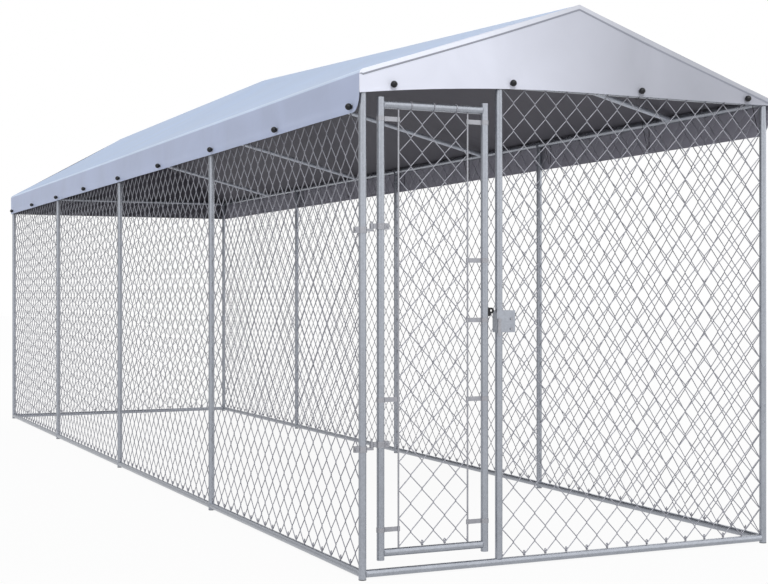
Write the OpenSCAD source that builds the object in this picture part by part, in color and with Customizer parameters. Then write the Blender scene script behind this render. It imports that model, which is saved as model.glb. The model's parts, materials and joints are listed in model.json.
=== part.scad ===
// Outdoor dog kennel run: galvanised tube frame, chain-link nets, a hinged gate
// with a swing latch, and a ridged tarpaulin canopy tied down with ball toggles.
// The gate end faces -Y, the ground is z = 0 and the origin is under the middle.

/* [Run] */
// Width between the axes of the left and right posts
run_w = 1920; // [1500:10:2400]
// Length of one bay, from post axis to post axis
bay_len = 1900; // [1500:10:2200]
// Height of the top rails' axis
rail_z = 1930; // [1920:5:2200]
// Height of the bottom rails' axis
sill_z = 23; // [20:1:40]
// Outer diameter of posts and rails
tube_d = 30; // [25:1:34]
// Wall of posts, rails and braces
tube_wall = 1.2; // [0.8:0.1:2]
// Length of a post above the top rail's axis
post_over = 12; // [10:1:14]
// Thickness of the end caps and feet
cap_t = 3; // [2:0.5:5]

/* [Joints] */
// Diameter of the swaged pin on a rail's end
pin_d = 12; // [8:0.5:12]
// Diameter of the swaged pin on a roof brace's end
brace_pin_d = 10; // [6:0.5:10]
// Length of the solid end that carries a pin
plug_len = 6; // [4:1:10]
// Distance from a post's axis to the tip of a pin
pin_stop = 6.5; // [6.2:0.1:8]
// Clearance where fixed pieces meet
fit_gap = 0.2; // [0.1:0.05:0.4]

/* [Net] */
// Wire diameter of the chain-link nets
wire_d = 3; // [2:0.5:4]
// Width of a diamond in the walls
net_pitch_w = 187; // [160:1:300]
// Height of a diamond in the walls
net_pitch_h = 208; // [180:1:340]
// Width of a diamond in the gate
gate_pitch_w = 100; // [80:2:120]
// Height of a diamond in the gate
gate_pitch_h = 108; // [90:2:130]

/* [Gate] */
// From the corner post's axis to the hinge stile's axis
hinge_gap = 76; // [70:1:90]
// From the hinge stile's axis to the latch stile's axis
gate_w = 454; // [400:2:700]
// From the latch stile's axis to the latch post's axis
latch_gap = 65; // [62:1:75]
// Height of the stiles' lower ends
gate_bottom = 70; // [60:1:90]
// Height of the stiles' upper ends
gate_top = 1850; // [1700:5:1860]
// From a stile's end to the axis of the gate's rail
gate_rail_in = 28; // [20:1:40]
// From a stile's axis to the tension bar's axis
bar_in = 76; // [60:1:90]
// Diameter of a tension bar
bar_d = 7; // [6:0.5:8]
// Heights of the straps on the hinge side
hinge_strap_z = [186, 686, 1768];
// Heights of the straps on the latch side
latch_strap_z = [192, 678, 990, 1226, 1774];
// Height of a tension strap
strap_h = 18; // [12:1:24]

/* [Hinges and latch] */
// Heights of the two hinge clamps
hinge_z = [500, 1338];
// Height of a clamp band
band_h = 24; // [18:1:30]
// Thickness of a clamp band
band_t = 3; // [2:0.5:4]
// Diameter of the hinge pin
hinge_pin_d = 8; // [6:0.5:10]
// Radial running clearance of the hinge and the latch
run_clear = 0.05; // [0.02:0.01:0.09]
// Axial clearance between moving pieces
move_gap = 0.3; // [0.2:0.1:0.6]
// Height of the middle of the latch plate
latch_z = 984; // [974:1:994]
// Height of the latch plate
latch_h = 88; // [84:1:110]
// Reach of the latch plate beyond the latch post's axis
latch_reach = 65; // [55:1:75]
// Thickness of the latch plate
latch_t = 3; // [2:0.5:4]
// Length of the latch lever from its pivot
lever_len = 62; // [50:1:64]
// Width of the latch lever
lever_w = 14; // [10:1:16]
// Thickness of the latch lever
lever_t = 4; // [3:0.5:6]
// Diameter of the lever's rivet
rivet_d = 6; // [5:0.5:7]

/* [Roof] */
// Rise of the ridge pole above the top rails at the gate end
ridge_front_rise = 330; // [300:5:420]
// Rise of the ridge pole above the top rails from the middle to the rear
ridge_rear_rise = 550; // [430:5:670]
// Rise of the sloping ties from the top rails to the king posts
tie_rise = 235; // [210:5:250]
// Distance of each pair of ties from the bay's front post
tie_at = 665; // [500:5:700]
// Outer diameter of ties and king posts
brace_d = 25; // [20:1:28]

/* [Canopy] */
// Thickness of the tarpaulin
canopy_t = 1; // [0.8:0.1:2]
// Radius of the tarpaulin round the top rails and the post caps
eave_r = 21.8; // [21.5:0.1:26]
// Drop of the side and rear valances below the top rails' axis
valance_drop = 140; // [110:5:160]
// Drop of the front gable panel's hem below the top rail's axis, at its middle
front_hem_drop = 12; // [5:1:24]
// Height by which the front hem clears the gate's stiles
hem_clear = 12; // [8:1:20]
// Length over which a valance's front corner is rounded up to the front hem
corner_r = 60; // [40:1:60]
// Height of the toggles above the hem
toggle_up = 22; // [18:1:30]
// Diameter of a toggle ball
ball_d = 27; // [22:1:32]
// Thickness of the toggles' elastic
elastic_t = 3; // [2:0.5:4]
// Diameter of an eyelet
eyelet_d = 18; // [14:1:22]
// Thickness of an eyelet
eyelet_t = 1.5; // [1:0.5:2]

/* [Hidden] */
$fn = 48;
bays = 4;
tube_r = tube_d / 2;
brace_r = brace_d / 2;
half_w = run_w / 2;
half_l = bays * bay_len / 2;
front_y = -half_l;
joint_r = tube_r + fit_gap;
hinge_x = -half_w + hinge_gap;
latch_stile_x = hinge_x + gate_w;
latch_post_x = latch_stile_x + latch_gap;
hinge_axis_x = -half_w + hinge_gap / 2;
gate_rail_lo = gate_bottom + gate_rail_in;
gate_rail_hi = gate_top - gate_rail_in;
band_r = joint_r + band_t;
bolt_d = 6;
bolt_clear = 0.3;
head_d = 11;
head_t = 4;
ear_len = 20;
ear_t = 4;
ear_slot = 6;
arm_h = 10;
eye_h = 20;
eye_r = 8;
strap_t = 1.5;
strap_eye_r = bar_d / 2 + fit_gap + 2.5;
net_border = wire_d / 2;
lever_y = front_y - joint_r - latch_t - move_gap - lever_t;
pivot_x = latch_post_x - 8;
pivot_z = latch_z + 4;
latch_bolt_x = latch_post_x + latch_reach - 18;
latch_bolt_z = [latch_z - 30, latch_z + 10];
lock_z = latch_z + 43;
lock_stop_w = 12;
lock_stop_h = 10;
lock_hole_r = 5;
lock_eye_r = 12;
lock_t = 6;
ridge_r = tube_r + 0.4;
elastic_r = joint_r + wire_d + fit_gap;
ridge_front_z = rail_z + ridge_front_rise;
ridge_rear_z = rail_z + ridge_rear_rise;
tie_apex_z = rail_z + tie_rise;
valance_z = rail_z - valance_drop;
front_hem_z = rail_z - front_hem_drop;
hem_dip = front_hem_z - gate_top - hem_clear;
toggle_z = valance_z + toggle_up;
canopy_half_l = half_l + eave_r + canopy_t + fit_gap;
toggle_x = half_w + eave_r + canopy_t;
toggle_y = half_l + eave_r + canopy_t + fit_gap;
net_side = band_r + fit_gap;
wall_net_w = bay_len - 2 * net_side;
end_net_w = run_w - 2 * net_side;
front_net_x = latch_post_x + net_side;
front_net_w = half_w - net_side - front_net_x;
wall_net_h = rail_z - sill_z - 2 * joint_r;
wall_count = net_count(wall_net_w, net_pitch_w);
wall_gap = wall_net_w / wall_count;
end_count = net_count(end_net_w, net_pitch_w);
end_gap = end_net_w / end_count;
front_count = net_count(front_net_w, net_pitch_w);
front_gap = front_net_w / front_count;
post_y = [for (i = [0:bays]) front_y + i * bay_len];
tie_y = [for (i = [0:bays - 1]) post_y[i] + tie_at];
tie_angle = atan((tie_apex_z - rail_z) / half_w);
ridge_angle = atan((ridge_rear_z - ridge_front_z) / half_l);
toggle_in = 0.39 * wall_gap;
side_toggle_y = concat(
    [front_y + net_side + 0.15 * wall_gap],
    [for (y = [for (i = [1:bays]) post_y[i] - toggle_in]) each [y - bay_len / 2, y - net_side]]);
front_toggle_x = concat(
    [hinge_x + 40, front_net_x + 0.15 * front_gap],
    [for (k = [floor(front_count / 2), front_count - 1]) front_net_x + (k + 0.5) * front_gap]);
end_third = floor(end_count / 3);
rear_toggle_x = [for (k = [0, end_third, end_count - 1 - end_third, end_count - 1])
    -half_w + net_side + (k + 0.5) * end_gap];

function net_count(size, pitch) = max(1, round(size / pitch));
function ridge_z(y) = y < 0 ? ridge_rear_z + (ridge_rear_z - ridge_front_z) * y / half_l : ridge_rear_z;
function front_hem(x) = front_hem_z - (x < 0 ? hem_dip : 0) * pow(x / half_w, 2);
function front_toggle_z(x) = front_hem(x) + toggle_up;
function numbered(stem, count) = [for (i = [1:count]) str(stem, i)];

galvanised = [0.72, 0.73, 0.75];
zinc_dark = [0.58, 0.59, 0.61];
black = [0.08, 0.08, 0.09];
roof_blue = [0.70, 0.79, 0.90];
gable_white = [0.87, 0.88, 0.93];

// What a tube along +X loses at a cross tube: a saddle, with its tips cut back for a tube at right angles.
module saddle(r, tube) {
    reach = 2 * tube;
    cylinder(r = r, h = 2 * reach, center = true);
    linear_extrude(2 * reach, center = true) polygon([[fit_gap, 0], [reach + fit_gap, reach],
        [-reach, reach], [-reach, -reach], [reach + fit_gap, -reach]]);
}

// A tube along +X between two cross tubes, with coped ends and swaged pins.
module pinned_tube(length, r, pin_r, start_r, end_r) {
    start = start_r + fit_gap;
    end = length - end_r - fit_gap;
    difference() {
        union() {
            difference() {
                rotate([0, 90, 0]) cylinder(r = r, h = length);
                saddle(start, r);
                translate([length, 0, 0]) rotate([0, 0, 180]) saddle(length - end, r);
            }
            translate([pin_stop, 0, 0]) rotate([0, 90, 0]) cylinder(r = pin_r, h = start_r + plug_len);
            translate([length - pin_stop - end_r - plug_len, 0, 0])
                rotate([0, 90, 0]) cylinder(r = pin_r, h = end_r + plug_len);
        }
        translate([start + plug_len, 0, 0])
            rotate([0, 90, 0]) cylinder(r = r - tube_wall, h = end - start - 2 * plug_len);
    }
}

// A hole for one pin, from a tube's axis outwards along +X.
module pin_hole(pin_r, reach) {
    rotate([0, 90, 0]) cylinder(r = pin_r + fit_gap, h = reach);
}

// An upright post whose holes take rails from the given directions.
module post(x, y, directions) {
    color(galvanised) translate([x, y, 0]) difference() {
        translate([0, 0, cap_t]) cylinder(r = tube_r, h = rail_z + post_over - cap_t);
        cylinder(r = tube_r - tube_wall, h = 2 * rail_z);
        for (z = [sill_z, rail_z], a = directions)
            translate([0, 0, z]) rotate([0, 0, a]) pin_hole(pin_d / 2, 2 * tube_r);
    }
}

module each_post() {
    for (x = [-half_w, half_w], y = post_y) translate([x, y, 0]) children();
}

module post_caps() {
    plug_h = post_over - pin_d / 2 - 1;
    color(black) each_post() translate([0, 0, rail_z + post_over]) {
        cylinder(r = tube_r, h = cap_t);
        translate([0, 0, -plug_h]) cylinder(r = tube_r - tube_wall - fit_gap, h = plug_h);
    }
}

module post_feet() {
    plug_h = sill_z - pin_d / 2 - cap_t - 1;
    color(black) each_post() {
        cylinder(r = tube_r, h = cap_t);
        cylinder(r = tube_r - tube_wall - fit_gap, h = cap_t + plug_h);
    }
}

// A rail along +Y in every bay of one side.
module side_rails(x, z) {
    for (i = [0:bays - 1])
        translate([x, post_y[i], z]) rotate([0, 0, 90])
            pinned_tube(bay_len, tube_r, pin_d / 2, tube_r, tube_r);
}

// The top rails of one side, with the holes that take the roof ties.
module side_top_rails(side) {
    color(galvanised) difference() {
        side_rails(side * half_w, rail_z);
        for (y = tie_y) translate([side * half_w, y, rail_z])
            rotate([0, side * tie_angle, 0]) mirror([side > 0 ? 1 : 0, 0, 0])
                pin_hole(brace_pin_d / 2, 2 * tube_r);
    }
}

module end_rail(y, z) {
    translate([-half_w, y, z]) pinned_tube(run_w, tube_r, pin_d / 2, tube_r, tube_r);
}

// A hole straight up or down from a rail's axis.
module upright_hole(x, y, z, way, pin_r) {
    translate([x, y, z]) rotate([0, -90 * way, 0]) pin_hole(pin_r, 2 * tube_r);
}

module front_bottom_rail() {
    color(galvanised) difference() {
        end_rail(front_y, sill_z);
        upright_hole(latch_post_x, front_y, sill_z, 1, pin_d / 2);
    }
}

module front_top_rail() {
    color(galvanised) difference() {
        end_rail(front_y, rail_z);
        upright_hole(latch_post_x, front_y, rail_z, -1, pin_d / 2);
        upright_hole(0, front_y, rail_z, 1, brace_pin_d / 2);
    }
}

module rear_bottom_rail() {
    color(galvanised) end_rail(half_l, sill_z);
}

module rear_top_rail() {
    color(galvanised) difference() {
        end_rail(half_l, rail_z);
        upright_hole(0, half_l, rail_z, 1, brace_pin_d / 2);
    }
}

module latch_post() {
    color(galvanised) translate([latch_post_x, front_y, sill_z]) rotate([90, -90, 90])
        pinned_tube(rail_z - sill_z, tube_r, pin_d / 2, tube_r, tube_r);
}

// A flat net of diamonds in the XZ plane, with an edge wire all round.
module net(width, height, pitch_w, pitch_h) {
    cols = net_count(width, pitch_w);
    rows = net_count(height, pitch_h);
    a = (width - 2 * net_border) / cols / 2;
    b = (height - 2 * net_border) / rows / 2;
    open = 1 - wire_d / 2 * sqrt(1 / (a * a) + 1 / (b * b));
    clip = net_border;
    gaps = [for (i = [0:2 * cols], j = [0:2 * rows]) if ((i + j) % 2 == 1)
        let (left = i > 0, right = i < 2 * cols, low = j > 0, high = j < 2 * rows)
        [for (p = [
            if (left) [-a * open, 0],
            if (!left) [clip, -b * open + clip * b / a],
            if (!left) [clip, b * open - clip * b / a],
            if (high) [0, b * open],
            if (!high) [-a * open + clip * a / b, -clip],
            if (!high) [a * open - clip * a / b, -clip],
            if (right) [a * open, 0],
            if (!right) [-clip, b * open - clip * b / a],
            if (!right) [-clip, -b * open + clip * b / a],
            if (low) [0, -b * open],
            if (!low) [a * open - clip * a / b, clip],
            if (!low) [-a * open + clip * a / b, clip]])
            if ((left || p[0] > 0) && (right || p[0] < 0) && (high || p[1] < 0) && (low || p[1] > 0))
            [net_border + i * a + p[0], net_border + j * b + p[1]]]];
    edge = [[0, 0], [width, 0], [width, height], [0, height]];
    sizes = concat([len(edge)], [for (g = gaps) len(g)]);
    starts = [for (k = 0, s = 0; k < len(sizes); s = s + sizes[k], k = k + 1) s];
    points = concat(edge, [for (g = gaps, p = g) p]);
    paths = [for (k = [0:len(sizes) - 1]) [for (m = [0:sizes[k] - 1]) starts[k] + m]];
    color(zinc_dark) rotate([90, 0, 0]) translate([0, 0, -wire_d / 2])
        linear_extrude(wire_d) polygon(points, paths);
}

module wall_net(side, bay) {
    translate([side * half_w, post_y[bay] + net_side, sill_z + joint_r])
        rotate([0, 0, 90]) net(wall_net_w, wall_net_h, net_pitch_w, net_pitch_h);
}

module rear_net() {
    translate([-half_w + net_side, half_l, sill_z + joint_r])
        net(end_net_w, wall_net_h, net_pitch_w, net_pitch_h);
}

module front_net() {
    translate([front_net_x, front_y, sill_z + joint_r])
        net(front_net_w, wall_net_h, net_pitch_w, net_pitch_h);
}

// The ridge pole's tube along +Y from the middle, closed at its far end.
module pole(length, r, wall) {
    rotate([-90, 0, 0]) difference() {
        cylinder(r = r, h = length);
        translate([0, 0, -length]) cylinder(r = r - wall, h = 2 * length - cap_t);
    }
}

module king_holes(ys) {
    for (y = ys) upright_hole(0, y, ridge_z(y), -1, brace_pin_d / 2);
}

// The end of a pole is cut square across at the middle of the run.
module behind_middle() {
    translate([-run_w / 2, fit_gap / 2 - 2 * half_l, 0]) cube([run_w, 2 * half_l, 2 * ridge_rear_z]);
}

module ridge_pole_front() {
    pole_len = (half_l + tube_r) / cos(ridge_angle);
    color(galvanised) difference() {
        translate([0, 0, ridge_rear_z]) rotate([0, 0, 180]) rotate([-ridge_angle, 0, 0])
            pole(pole_len, tube_r, tube_wall);
        mirror([0, 1, 0]) behind_middle();
        king_holes([for (y = concat([front_y], tie_y)) if (y < 0) y]);
    }
}

module ridge_pole_rear() {
    color(galvanised) difference() {
        translate([0, 0, ridge_rear_z]) pole(half_l + tube_r, tube_r, tube_wall);
        behind_middle();
        king_holes([for (y = concat(tie_y, [half_l])) if (y > 0) y]);
    }
}

// The bent bar inside the two poles where they meet.
module ridge_joint() {
    leg = 90;
    r = tube_r - tube_wall - fit_gap;
    color(zinc_dark) translate([0, 0, ridge_rear_z]) {
        rotate([-90, 0, 0]) cylinder(r = r, h = leg);
        difference() {
            rotate([90 + ridge_angle, 0, 0]) translate([0, 0, -leg / 2])
                cylinder(r = r - fit_gap, h = 1.5 * leg);
            translate([-leg, 0, -leg]) cube(2 * leg);
        }
    }
}

// The space of the ridge pole over one place, with its clearance.
module ridge_space(y) {
    slope = y < 0 ? ridge_angle : 0;
    translate([0, y, ridge_z(y)]) rotate([90 + slope, 0, 0])
        cylinder(r = joint_r, h = 8 * tube_r, center = true);
}

// A king post from its foot to the ridge pole, with a pin into the pole.
module king_post(y, foot_z) {
    top = ridge_z(y);
    shoulder = top - tube_r - 2 * plug_len;
    difference() {
        union() {
            difference() {
                translate([0, y, foot_z]) cylinder(r = brace_r, h = top - foot_z);
                ridge_space(y);
            }
            translate([0, y, shoulder]) cylinder(r = brace_pin_d / 2, h = top - pin_stop - shoulder);
        }
        translate([0, y, foot_z + plug_len])
            cylinder(r = brace_r - tube_wall, h = shoulder - foot_z - plug_len);
    }
}

// The king post of a gable stands on the end's top rail.
module gable_king_post(y) {
    color(galvanised) {
        difference() {
            king_post(y, rail_z);
            translate([-half_w, y, rail_z]) rotate([0, 90, 0]) cylinder(r = joint_r, h = run_w);
        }
        translate([0, y, rail_z + pin_stop]) cylinder(r = brace_pin_d / 2, h = tube_r + plug_len - pin_stop);
        translate([0, y, rail_z + tube_r + fit_gap + 1])
            cylinder(r = brace_r - tube_wall, h = plug_len);
    }
}

module truss_king_posts() {
    foot_z = tie_apex_z - brace_d;
    color(galvanised) difference() {
        for (y = tie_y) king_post(y, foot_z);
        for (y = tie_y, side = [0, 1]) translate([0, y, tie_apex_z])
            mirror([side, 0, 0]) rotate([0, tie_angle, 0]) pin_hole(brace_pin_d / 2, 2 * brace_r);
    }
}

// The sloping ties of one side, from the top rail up to the king posts.
module roof_ties(side) {
    tie_len = norm([half_w, tie_apex_z - rail_z]);
    color(galvanised) for (y = tie_y) translate([side * half_w, y, rail_z])
        mirror([side > 0 ? 1 : 0, 0, 0]) rotate([0, -tie_angle, 0]) difference() {
            union() {
                difference() {
                    rotate([0, 90, 0]) cylinder(r = brace_r, h = tie_len);
                    rotate([90, 0, 0]) cylinder(r = joint_r, h = 4 * tube_r, center = true);
                    translate([tie_len, 0, 0]) rotate([0, tie_angle, 0])
                        cylinder(r = brace_r + fit_gap, h = 4 * tube_r, center = true);
                }
                translate([pin_stop, 0, 0]) rotate([0, 90, 0])
                    cylinder(r = brace_pin_d / 2, h = tube_r + plug_len);
                translate([tie_len - pin_stop - brace_r - plug_len, 0, 0]) rotate([0, 90, 0])
                    cylinder(r = brace_pin_d / 2, h = brace_r + plug_len);
            }
            translate([joint_r + plug_len, 0, 0]) rotate([0, 90, 0])
                cylinder(r = brace_r - tube_wall, h = tie_len - joint_r - brace_r - 2 * plug_len - plug_len);
        }
}

// Half of the tarpaulin's section at one place: round the eave, up and over the ridge.
function eave_normal(z) = let (d = [half_w, z - rail_z])
    atan2(d[1], d[0]) + acos((eave_r - ridge_r) / norm(d));
function half_section(z, out) = let (n = eave_normal(z)) concat(
    [for (k = [0:4]) let (a = 180 + (n - 180) * k / 4)
        [-half_w + (eave_r + out) * cos(a), rail_z + (eave_r + out) * sin(a)]],
    [for (k = [0:2]) let (a = n + (90 - n) * k / 3)
        [(ridge_r + out) * cos(a), z + (ridge_r + out) * sin(a)]]);
function section(z, out, left, right) = let (half = half_section(z, out), edge = half_w + eave_r + out)
    concat([[-edge, left]], half, [[0, z + ridge_r + out]],
        [for (k = [len(half) - 1:-1:0]) [-half[k][0], half[k][1]]], [[edge, right]]);

// Height of a valance's hem: its front corner is rounded up to the front panel's hem.
function valance_hem(y, side) = let (back = min(1, (y + canopy_half_l) / corner_r))
    valance_z + (front_hem(side * half_w) - valance_z) * (1 - sqrt(1 - pow(1 - back, 2)));

// Two triangles between four corners, split from the first corner or from the second.
function quad(a, b, c, d, first) = first ? [[a, b, c], [a, c, d]] : [[a, b, d], [b, c, d]];

// The roof sheet is lofted through sections: the ridge climbs to the middle and is level behind it.
module roof_canopy() {
    climb = 6;
    start = corner_r - canopy_half_l;
    stations = concat([for (k = [0:3]) corner_r * pow(k / 4, 2) - canopy_half_l],
        [for (k = [0:climb]) start * (1 - k / climb)], [half_l / 2, canopy_half_l]);
    n = len(section(ridge_rear_z, 0, valance_z, valance_z));
    last = len(stations) - 1;
    points = [for (y = stations, out = [canopy_t, 0],
            p = section(ridge_z(y), out, valance_hem(y, -1), valance_hem(y, 1)))
        [p[0], y, p[1]]];
    walls = [for (s = [0:last - 1], k = [0:n - 2])
        let (a = 2 * n * s + k, b = a + 2 * n, left = k < n / 2 - 1)
        each concat(quad(a, a + 1, b + 1, b, left), quad(a + n, b + n, b + n + 1, a + n + 1, left))];
    hems = [for (s = [0:last - 1]) let (a = 2 * n * s, b = a + 2 * n, c = a + n - 1, d = b + n - 1)
        each concat(quad(a + n, a, b, b + n, true), quad(c, c + n, d + n, d, true))];
    ends = [for (k = [0:n - 2]) let (a = k, b = 2 * n * last + k)
        each concat(quad(a, a + n, a + n + 1, a + 1, true), quad(b, b + 1, b + n + 1, b + n, true))];
    color(roof_blue) polyhedron(points, concat(walls, hems, ends));
}

// A gable panel hangs inside the end of the roof sheet, between the ends of its hem.
module gable_panel(y, left, right, hem) {
    outline = concat(section(ridge_z(y), -fit_gap, left, right), hem);
    color(gable_white) translate([0, y, 0]) rotate([90, 0, 0]) linear_extrude(canopy_t, center = true)
        polygon(outline);
}

// The front hem dips towards the corner over the gate's hinges.
module front_gable_panel() {
    edge = half_w + eave_r;
    hem = [for (k = [11:-1:-11]) let (x = edge * k / 12) [x, front_hem(x)]];
    gable_panel(front_y - eave_r - canopy_t / 2, front_hem(-edge), front_hem(edge), hem);
}

// Every toggle's place, with its local -X pointing out of the canopy.
module each_toggle() {
    for (y = side_toggle_y) {
        translate([-toggle_x, y, toggle_z]) children();
        translate([toggle_x, y, toggle_z]) rotate([0, 0, 180]) children();
    }
    for (x = front_toggle_x) translate([x, -toggle_y, front_toggle_z(x)]) rotate([0, 0, 90]) children();
    for (x = rear_toggle_x) translate([x, toggle_y, toggle_z]) rotate([0, 0, -90]) children();
}

module canopy_eyelets() {
    color(zinc_dark) each_toggle() rotate([0, -90, 0]) difference() {
        cylinder(d = eyelet_d, h = eyelet_t);
        cylinder(d = eyelet_d / 2, h = 3 * eyelet_t, center = true);
    }
}

module toggle_balls() {
    color(black) each_toggle()
        translate([-eyelet_t - ball_d / 2 - fit_gap, 0, 0]) sphere(d = ball_d);
}

// An elastic loop from the canopy's inner face, round the rail and the net's edge wire.
module elastic_loop(drop, face) {
    big = elastic_r + elastic_t;
    small = 2 * elastic_t;
    end = [-face + small + fit_gap, -drop];
    rotate([90, 0, 0]) linear_extrude(elastic_t, center = true) difference() {
        polygon(belt(big, small, end));
        polygon(belt(elastic_r, elastic_t, end));
    }
}

// The outline of a belt round a circle at the origin and a smaller one at a point.
function belt(r1, r2, at) = let (t = atan2(at[1], at[0]), s = acos(min(1, (r1 - r2) / norm(at)))) concat(
    [for (k = [0:24]) let (a = t + s + (360 - 2 * s) * k / 24) r1 * [cos(a), sin(a)]],
    [for (k = [0:10]) let (a = t - s + 2 * s * k / 10) at + r2 * [cos(a), sin(a)]]);

module elastic_loops() {
    drop = rail_z - toggle_z;
    color(black) {
        for (y = side_toggle_y) {
            translate([-half_w, y, rail_z]) elastic_loop(drop, eave_r);
            translate([half_w, y, rail_z]) rotate([0, 0, 180]) elastic_loop(drop, eave_r);
        }
        for (x = front_toggle_x) translate([x, front_y, rail_z]) rotate([0, 0, 90])
            elastic_loop(rail_z - front_toggle_z(x), eave_r - fit_gap);
        for (x = rear_toggle_x) translate([x, half_l, rail_z]) rotate([0, 0, -90])
            elastic_loop(drop, eave_r - fit_gap);
    }
}

// A band round a tube, with two ears towards -X that a bolt draws together.
module clamp_band() {
    difference() {
        union() {
            cylinder(r = band_r, h = band_h, center = true);
            translate([-band_r - ear_len + band_t, -ear_slot / 2 - ear_t, -band_h / 2])
                cube([ear_len, ear_slot + 2 * ear_t, band_h]);
        }
        cylinder(r = joint_r, h = 2 * band_h, center = true);
        translate([-2 * band_r - ear_len, -ear_slot / 2, -band_h])
            cube([2 * band_r + ear_len, ear_slot, 2 * band_h]);
        translate([-band_r - ear_len / 2, 0, 0]) rotate([90, 0, 0])
            cylinder(d = bolt_d + 2 * bolt_clear, h = 4 * band_r, center = true);
    }
}

// The bolt and nut of one clamp band.
module clamp_bolt() {
    grip = ear_slot / 2 + ear_t;
    translate([-band_r - ear_len / 2, 0, 0]) rotate([90, 0, 0]) {
        cylinder(d = bolt_d, h = 2 * grip + 2 * head_t, center = true);
        translate([0, 0, grip]) cylinder(d = head_d, h = head_t);
        translate([0, 0, -grip - head_t]) cylinder(d = head_d, h = head_t, $fn = 6);
    }
}

// The post's half of a hinge: a clamp band, an arm and an upright pin.
module hinge_clamp(z) {
    pin_top = arm_h / 2 + move_gap + eye_h + 8;
    color(zinc_dark) translate([-half_w, front_y, z]) {
        clamp_band();
        difference() {
            translate([0, -eye_r, -arm_h / 2]) cube([hinge_gap / 2, 2 * eye_r, arm_h]);
            cylinder(r = band_r - band_t / 2, h = 2 * band_h, center = true);
        }
        translate([hinge_gap / 2, 0, -arm_h / 2]) {
            cylinder(r = eye_r, h = arm_h);
            cylinder(d = hinge_pin_d, h = arm_h / 2 + pin_top);
        }
    }
}

function gate_eye_z(z) = z + arm_h / 2 + move_gap + eye_h / 2;

// The gate's half of a hinge: a clamp band with an eye that turns on the pin.
module gate_eye(z) {
    reach = hinge_gap / 2;
    color(zinc_dark) translate([hinge_x, front_y, gate_eye_z(z)]) difference() {
        union() {
            rotate([0, 0, 180]) clamp_band();
            translate([-reach, 0, 0]) cylinder(r = eye_r, h = eye_h, center = true);
            difference() {
                translate([-reach, -eye_r / 2, -eye_h / 2]) cube([reach, eye_r, eye_h]);
                cylinder(r = band_r - band_t / 2, h = 2 * band_h, center = true);
            }
        }
        translate([-reach, 0, 0]) cylinder(r = hinge_pin_d / 2 + run_clear, h = 2 * eye_h, center = true);
    }
}

module hinge_clamp_bolts() {
    color(zinc_dark) for (z = hinge_z) translate([-half_w, front_y, z]) clamp_bolt();
}

module gate_eye_bolts() {
    color(zinc_dark) for (z = hinge_z)
        translate([hinge_x, front_y, gate_eye_z(z)]) rotate([0, 0, 180]) clamp_bolt();
}

// A gate stile: a closed tube whose holes take the gate's two rails.
module gate_stile(x, direction) {
    color(galvanised) translate([x, front_y, 0]) difference() {
        translate([0, 0, gate_bottom]) cylinder(r = tube_r, h = gate_top - gate_bottom);
        translate([0, 0, gate_bottom + cap_t])
            cylinder(r = tube_r - tube_wall, h = gate_top - gate_bottom - 2 * cap_t);
        for (z = [gate_rail_lo, gate_rail_hi]) translate([0, 0, z]) rotate([0, 0, direction])
            pin_hole(pin_d / 2, 2 * tube_r);
    }
}

module gate_rail(z) {
    color(galvanised) translate([hinge_x, front_y, z])
        pinned_tube(gate_w, tube_r, pin_d / 2, tube_r, tube_r);
}

module gate_tension_bars() {
    lo = gate_rail_lo + joint_r;
    color(zinc_dark) for (x = [hinge_x + bar_in, latch_stile_x - bar_in])
        translate([x, front_y, lo]) cylinder(d = bar_d, h = gate_rail_hi - joint_r - lo);
}

module gate_net() {
    edge = bar_in + strap_eye_r + fit_gap;
    lo = gate_rail_lo + joint_r;
    translate([hinge_x + edge, front_y, lo])
        net(gate_w - 2 * edge, gate_rail_hi - joint_r - lo, gate_pitch_w, gate_pitch_h);
}

// A flat strap round a stile, with an eye round the tension bar.
module tension_strap() {
    difference() {
        union() {
            cylinder(r = joint_r + strap_t, h = strap_h, center = true);
            translate([0, -strap_t, -strap_h / 2]) cube([bar_in, 2 * strap_t, strap_h]);
            translate([bar_in, 0, 0]) cylinder(r = strap_eye_r, h = strap_h, center = true);
        }
        cylinder(r = joint_r, h = 2 * strap_h, center = true);
        translate([bar_in, 0, 0]) cylinder(r = bar_d / 2 + fit_gap, h = 2 * strap_h, center = true);
    }
}

module gate_tension_straps() {
    color(zinc_dark) {
        for (z = hinge_strap_z) translate([hinge_x, front_y, z]) tension_strap();
        for (z = latch_strap_z) translate([latch_stile_x, front_y, z]) rotate([0, 0, 180]) tension_strap();
    }
}

// The black eye on the latch stile that a padlock goes through, with its stop below.
module gate_lock_eye() {
    reach = 2 * tube_r;
    color(black) translate([latch_stile_x, front_y, lock_z]) difference() {
        union() {
            translate([reach, 0, 0]) rotate([90, 0, 0])
                cylinder(r = lock_eye_r, h = lock_t, center = true);
            translate([0, -lock_t / 2, -lock_eye_r]) cube([reach, lock_t, 2 * lock_eye_r]);
            translate([0, -lock_stop_w / 2, -lock_eye_r - lock_stop_h])
                cube([reach - lock_hole_r, lock_stop_w, lock_stop_h + lock_t]);
        }
        cylinder(r = joint_r, h = 6 * lock_eye_r, center = true);
        translate([reach, 0, 0]) rotate([90, 0, 0]) cylinder(r = lock_hole_r, h = 3 * lock_t, center = true);
    }
}

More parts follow.
